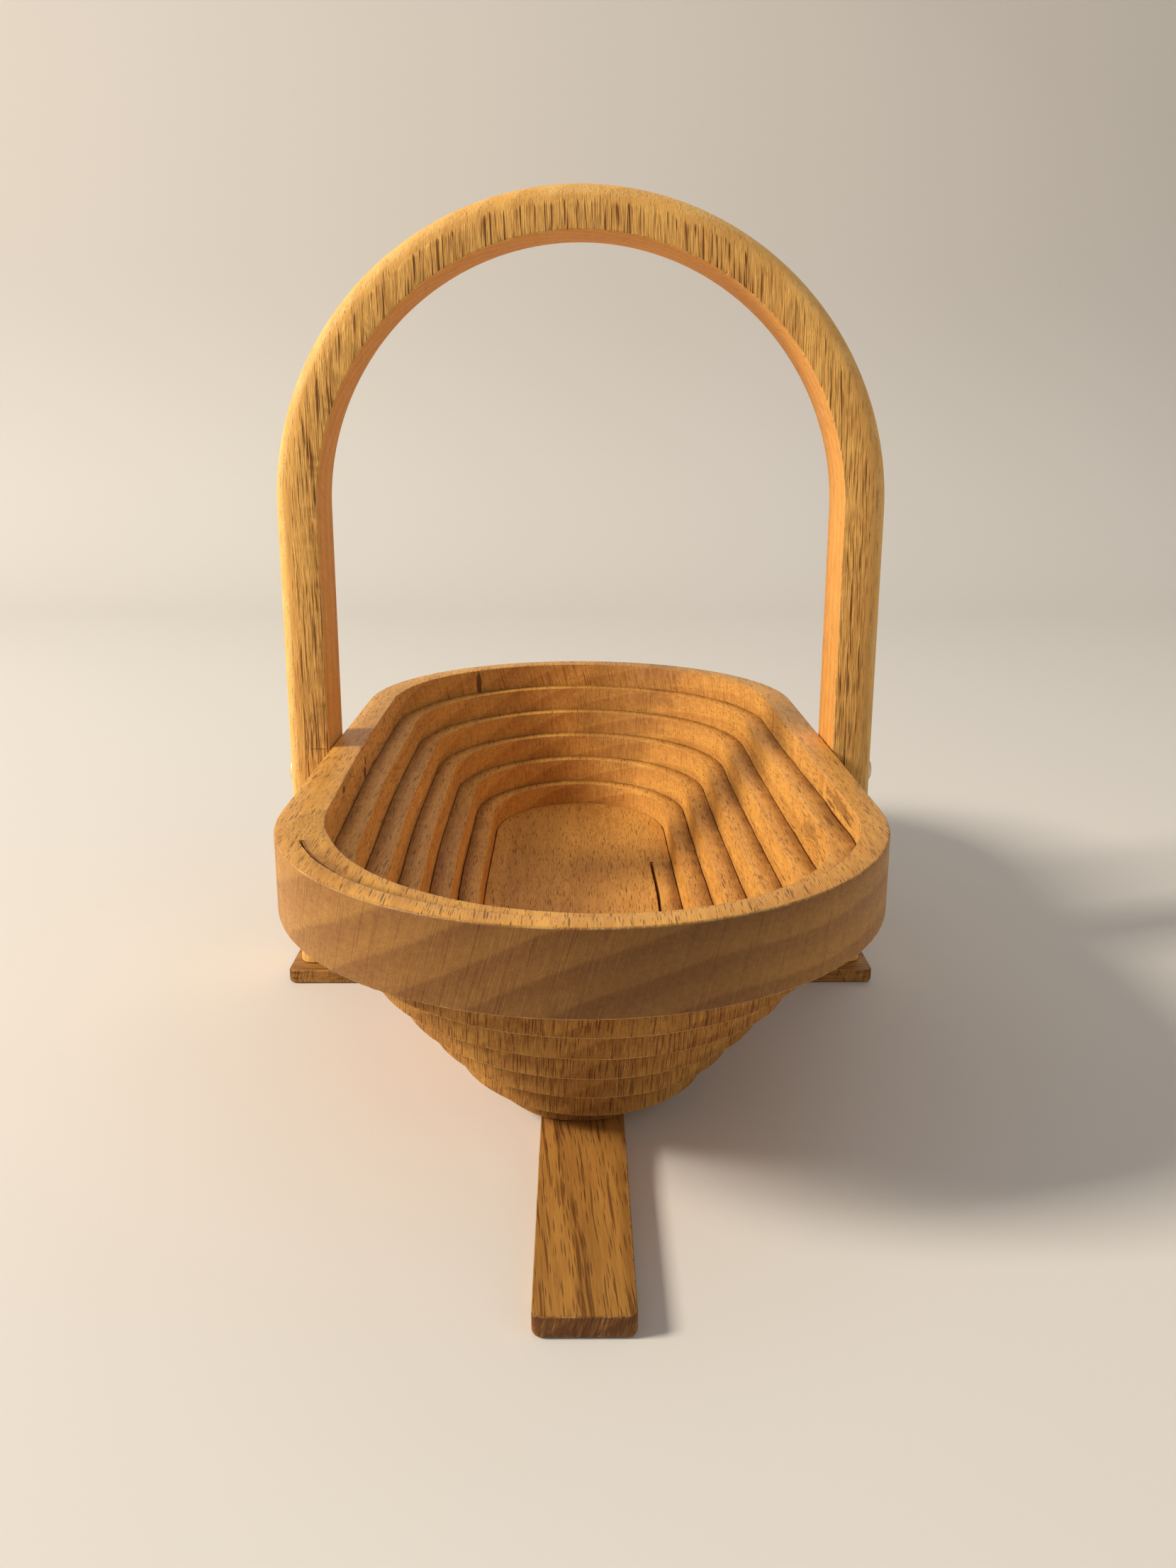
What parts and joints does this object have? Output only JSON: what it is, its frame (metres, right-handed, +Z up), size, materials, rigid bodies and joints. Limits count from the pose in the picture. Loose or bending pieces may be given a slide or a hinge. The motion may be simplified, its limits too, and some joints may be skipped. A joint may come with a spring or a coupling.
{
  "type": "collapsible wooden basket",
  "caption": "Oval wooden board sawn along one spiral kerf so that it drops open into a stepped bowl, under an arched handle whose legs stand in a cross of two laths",
  "frame": {"origin": "centre of the bounding box on the floor, below the line of the two pivots", "axes": "+Z up, +Y along the basket to its back, where the board folds into the arch, +X to the right"},
  "size_m": [0.181, 0.37, 0.2313],
  "materials": {
    "board_oak": "oiled satin",
    "handle_oak": "oiled satin",
    "lath_oak": "oiled satin",
    "dowel_beech": "plain",
    "screw_brass": "satin"
  },
  "bodies": {
    "stand": {"crossbar": "lath_oak", "long_foot": "lath_oak", "foot_screw": "screw_brass"},
    "handle_frame": {"handle": "handle_oak", "leg_dowel_left": "dowel_beech", "leg_dowel_right": "dowel_beech"},
    "rim_body": {"rim": "board_oak", "pivot_screw_left": "screw_brass", "pivot_screw_right": "screw_brass"},
    "turn_1_body": {"turn_1": "board_oak"},
    "turn_2_body": {"turn_2": "board_oak"},
    "turn_3_body": {"turn_3": "board_oak"},
    "turn_4_body": {"turn_4": "board_oak"},
    "turn_5_body": {"turn_5": "board_oak"},
    "floor_body": {"basket_floor": "board_oak"}
  },
  "joints": [
    {"name": "lift_off", "type": "slide", "parent": "stand", "child": "handle_frame", "axis": [0, 0, 1], "range_m": [0, 0.2]},
    {"name": "basket_tilt", "type": "hinge", "parent": "handle_frame", "child": "rim_body", "pos_m": [0, 0, 0.06428], "axis": [1, 0, 0], "range_deg": [0, 90]},
    {"name": "collapse_1", "type": "slide", "parent": "rim_body", "child": "turn_1_body", "axis": [0, 0, 1], "range_m": [0, 0.00822]},
    {"name": "collapse_2", "type": "slide", "parent": "turn_1_body", "child": "turn_2_body", "axis": [0, 0, 1], "range_m": [0, 0.00822]},
    {"name": "collapse_3", "type": "slide", "parent": "turn_2_body", "child": "turn_3_body", "axis": [0, 0, 1], "range_m": [0, 0.00822]},
    {"name": "collapse_4", "type": "slide", "parent": "turn_3_body", "child": "turn_4_body", "axis": [0, 0, 1], "range_m": [0, 0.00822]},
    {"name": "collapse_5", "type": "slide", "parent": "turn_4_body", "child": "turn_5_body", "axis": [0, 0, 1], "range_m": [0, 0.00822]},
    {"name": "collapse_6", "type": "slide", "parent": "turn_5_body", "child": "floor_body", "axis": [0, 0, 1], "range_m": [0, 0.00822]}
  ],
  "couplings": [
    {"joint": "basket_tilt", "follows": "lift_off", "rad_per_m": 7.85},
    {"joint": "collapse_2", "follows": "collapse_1", "ratio": 1},
    {"joint": "collapse_3", "follows": "collapse_1", "ratio": 1},
    {"joint": "collapse_4", "follows": "collapse_1", "ratio": 1},
    {"joint": "collapse_5", "follows": "collapse_1", "ratio": 1},
    {"joint": "collapse_6", "follows": "collapse_1", "ratio": 1}
  ]
}
